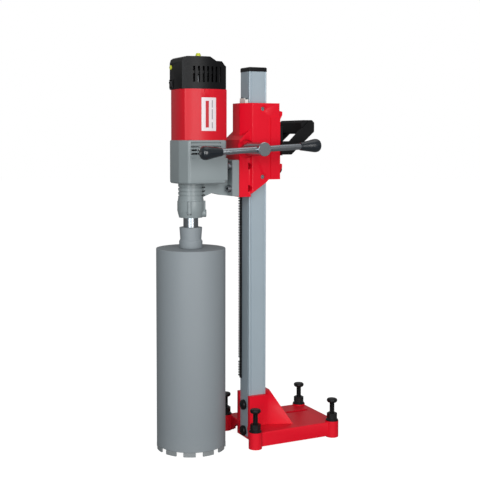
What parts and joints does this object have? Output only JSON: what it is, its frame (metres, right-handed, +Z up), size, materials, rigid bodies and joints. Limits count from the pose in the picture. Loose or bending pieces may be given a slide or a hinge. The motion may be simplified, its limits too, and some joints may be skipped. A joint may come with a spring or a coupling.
{
  "type": "core drill rig",
  "caption": "Core drill rig: levelling base, square column with rack, hand-fed carriage, electric drill motor and a wet diamond core bit on its spindle.",
  "frame": {"origin": "the column's axis at floor level; the mount base_rim is the casting's rim, 3.5 mm above the floor that its corner bosses stand on", "axes": "+Z up the column, -Y towards the core bit, +X towards the feed handle"},
  "size_m": [0.2238, 0.4268, 0.9001],
  "materials": {
    "casting_red": "gloss powder coat",
    "motor_red": "satin moulded nylon",
    "cap_black": "fine-grain moulded",
    "case_grey": "satin enamel on die casting",
    "column_alloy": "anodised extrusion",
    "black_steel": "black oxide",
    "steel": "machined",
    "chrome": "ground and polished",
    "bit_grey": "grey lacquer",
    "segment": "sintered matrix",
    "nylon": "natural nylon",
    "grip_black": "moulded grip",
    "knob_black": "phenolic",
    "bronze": "sintered",
    "label": "printed plate",
    "bubble": "clear vial",
    "copper": "wound copper",
    "seal": "nitrile",
    "carbon": "pressed carbon",
    "rocker_black": "moulded"
  },
  "bodies": {
    "stand": {"base_casting": "casting_red", "levelling_lock_nuts": "black_steel", "column": "column_alloy", "column_end_cap": "cap_black", "column_bolts": "black_steel", "feed_rack": "black_steel", "rack_screws": "black_steel"},
    "screw_front_left": {"levelling_screw_1": "black_steel"},
    "screw_rear_left": {"levelling_screw_2": "black_steel"},
    "screw_front_right": {"levelling_screw_3": "black_steel"},
    "screw_rear_right": {"levelling_screw_4": "black_steel"},
    "carriage": {"carriage_casting": "casting_red", "glide_pads": "nylon", "guide_adjusting_screws": "steel", "column_wiper": "nylon", "wiper_screws": "black_steel", "pinion_bushes": "bronze", "carry_handle": "grip_black", "carry_handle_screws": "black_steel", "gear_case_lower": "case_grey", "gear_case_upper": "case_grey", "gear_case_screws": "black_steel", "motor_housing": "motor_red", "label_plate": "label", "motor_cap": "cap_black", "motor_cap_screws": "steel", "power_gland": "seal", "bubble_levels": "bubble", "switch_housing": "cap_black", "stator": "steel", "carbon_brushes": "carbon", "brush_holders": "bronze", "motor_bearings": "steel", "bearing_bracket": "cap_black", "lay_bearings": "steel", "spindle_bearings": "steel", "water_collar": "case_grey", "shaft_seals": "seal", "drill_mounting_bolts": "steel"},
    "lock": {"carriage_lock_screw": "black_steel"},
    "feed": {"feed_pinion": "steel", "feed_shaft": "chrome", "handle_hub": "chrome", "cross_bar": "chrome", "handle_knobs": "knob_black"},
    "rocker": {"switch_rocker": "rocker_black"},
    "spindle": {"spindle": "chrome", "spindle_gear": "steel", "spindle_spacer": "steel", "bit_hub": "bit_grey", "bit_barrel": "bit_grey", "bit_segments": "segment"},
    "lay": {"lay_shaft": "steel", "reduction_gear": "steel"},
    "armature": {"armature_shaft": "steel", "armature_core": "copper", "commutator": "copper", "cooling_fan": "carbon"}
  },
  "joints": [
    {"name": "carriage_slide", "type": "slide", "parent": "stand", "child": "carriage", "axis": [0, 0, 1], "range_m": [-0.44, 0.055]},
    {"name": "feed_turn", "type": "hinge", "parent": "carriage", "child": "feed", "pos_m": [0, -0.0391, 0.6845], "axis": [1, 0, 0], "range_deg": [-270, 2110]},
    {"name": "spindle_spin", "type": "hinge", "parent": "carriage", "child": "spindle", "pos_m": [0, -0.16, 0.5], "axis": [0, 0, 1], "continuous": true},
    {"name": "lay_spin", "type": "hinge", "parent": "carriage", "child": "lay", "pos_m": [-0.02782, -0.13981, 0.65], "axis": [0, 0, 1], "continuous": true},
    {"name": "motor_spin", "type": "hinge", "parent": "carriage", "child": "armature", "pos_m": [0, -0.143, 0.76], "axis": [0, 0, 1], "continuous": true},
    {"name": "lock_turn", "type": "hinge", "parent": "carriage", "child": "lock", "pos_m": [0.012, 0.045, 0.637], "axis": [0, 1, 0], "range_deg": [0, 180]},
    {"name": "switch_rock", "type": "hinge", "parent": "carriage", "child": "rocker", "pos_m": [-0.024, -0.1935, 0.831], "axis": [1, 0, 0], "range_deg": [0, 12]},
    {"name": "levelling_front_left", "type": "slide", "parent": "stand", "child": "screw_front_left", "axis": [0, 0, 1], "range_m": [-0.02, 0.012]},
    {"name": "levelling_rear_left", "type": "slide", "parent": "stand", "child": "screw_rear_left", "axis": [0, 0, 1], "range_m": [-0.02, 0.012]},
    {"name": "levelling_front_right", "type": "slide", "parent": "stand", "child": "screw_front_right", "axis": [0, 0, 1], "range_m": [-0.02, 0.012]},
    {"name": "levelling_rear_right", "type": "slide", "parent": "stand", "child": "screw_rear_right", "axis": [0, 0, 1], "range_m": [-0.02, 0.012]}
  ],
  "couplings": [
    {"joint": "feed_turn", "follows": "carriage_slide", "rad_per_m": -83.333},
    {"joint": "lay_spin", "follows": "spindle_spin", "ratio": -3.2308},
    {"joint": "motor_spin", "follows": "spindle_spin", "ratio": 9.6923}
  ]
}
